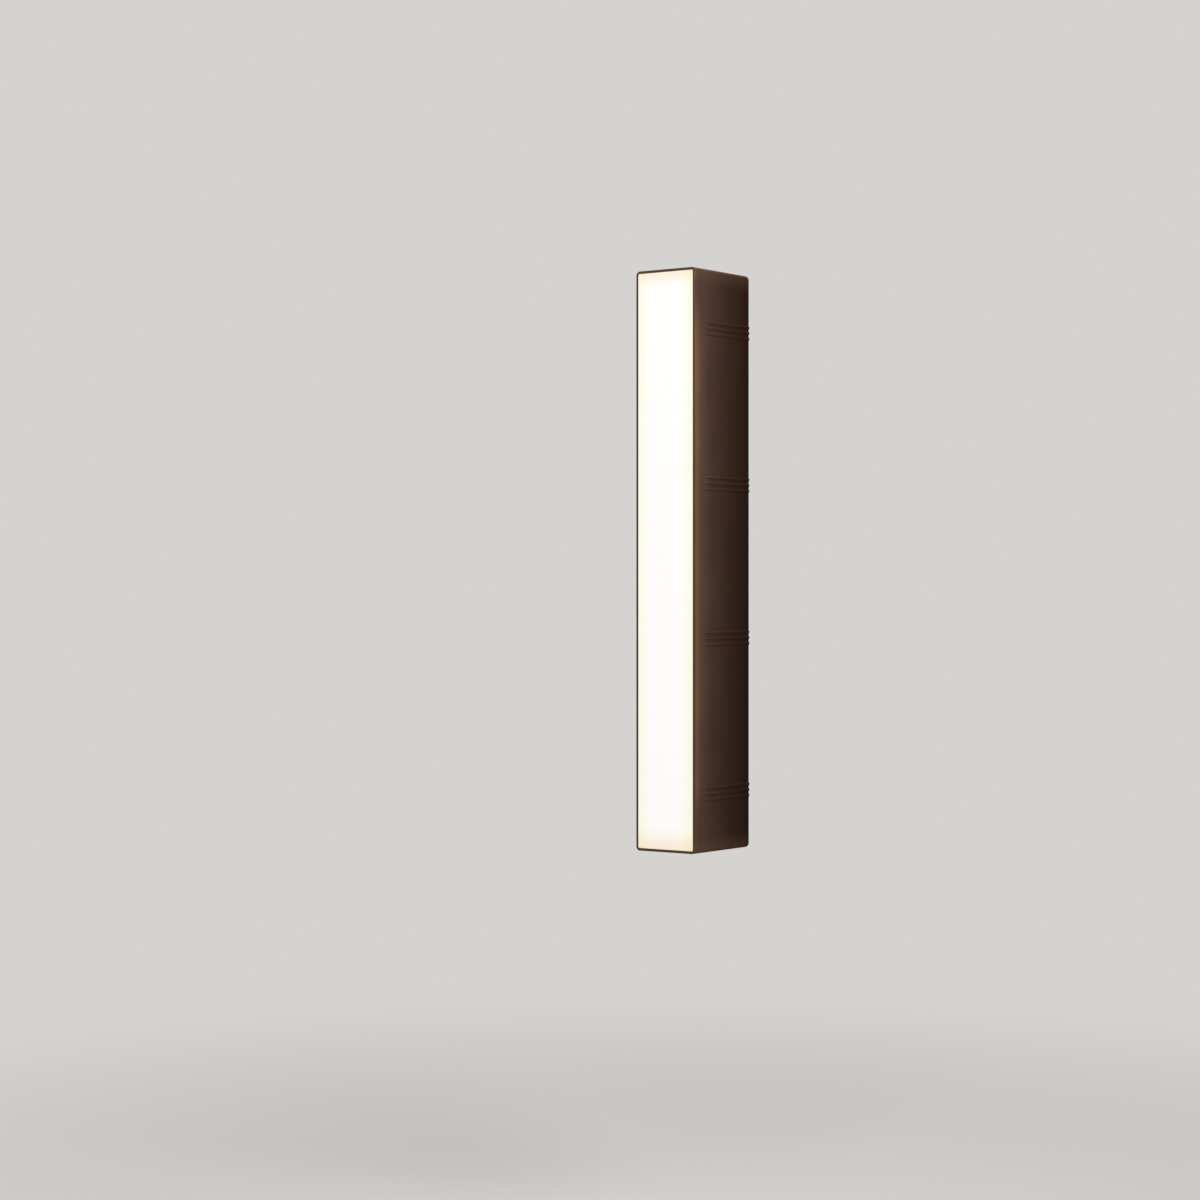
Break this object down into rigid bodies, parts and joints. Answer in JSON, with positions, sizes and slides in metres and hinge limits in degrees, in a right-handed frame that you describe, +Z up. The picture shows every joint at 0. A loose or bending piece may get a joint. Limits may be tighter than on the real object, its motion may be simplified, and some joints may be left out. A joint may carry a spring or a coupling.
{
  "type": "outdoor wall light",
  "caption": "Slim upright box-shaped outdoor wall light in bronze-brown metal, with a lit opal front panel, beaded sides and a clear light window in each end.",
  "frame": {"origin": "middle of the wall bracket's back face, on the wall plane", "axes": "+Y into the wall, -Y the lit front, +Z up"},
  "size_m": [0.0512, 0.07, 0.406],
  "materials": {
    "bronze_coat": "satin",
    "opal": "satin",
    "silicone": "matte",
    "white_sheet": "matte",
    "white_board": "satin",
    "phosphor": "satin",
    "screw_steel": "satin",
    "zinc_plate": "satin",
    "bare_aluminium": "satin",
    "mirror_film": "polished",
    "clear_glass": "gloss",
    "driver_case": "satin",
    "terminal_nylon": "satin",
    "brass": "satin",
    "black_rubber": "matte",
    "black_nylon": "satin",
    "grey_foam": "matte",
    "lead_sheath": "satin",
    "lead_white": "satin",
    "earth_sheath": "satin"
  },
  "bodies": {
    "root": {"bracket_screws": "screw_steel", "breather_vent": "black_nylon", "diffuser_gasket": "silicone", "driver": "driver_case", "driver_screws": "screw_steel", "earth_lead": "earth_sheath", "earth_screw": "brass", "earth_tag": "brass", "front_board_screws": "screw_steel", "front_diffuser": "opal", "front_lead": "lead_white", "front_led_board": "white_board", "front_leds": "phosphor", "housing": "bronze_coat", "input_lead": "lead_sheath", "led_board_screws": "screw_steel", "led_bracket_screws": "screw_steel", "led_tray": "white_sheet", "lower_glass": "clear_glass", "lower_glass_gasket": "silicone", "lower_lead": "lead_white", "lower_led": "phosphor", "lower_led_board": "white_board", "lower_led_bracket": "bare_aluminium", "lower_reflector": "mirror_film", "supply_grommet": "black_rubber", "terminal_block": "terminal_nylon", "terminal_clamp_screws": "brass", "terminal_fixing_screws": "screw_steel", "tray_screws": "screw_steel", "upper_glass": "clear_glass", "upper_glass_gasket": "silicone", "upper_lead": "lead_white", "upper_led": "phosphor", "upper_led_board": "white_board", "upper_led_bracket": "bare_aluminium", "upper_reflector": "mirror_film", "wall_bracket": "zinc_plate", "wall_seal": "grey_foam"}
  },
  "joints": []
}
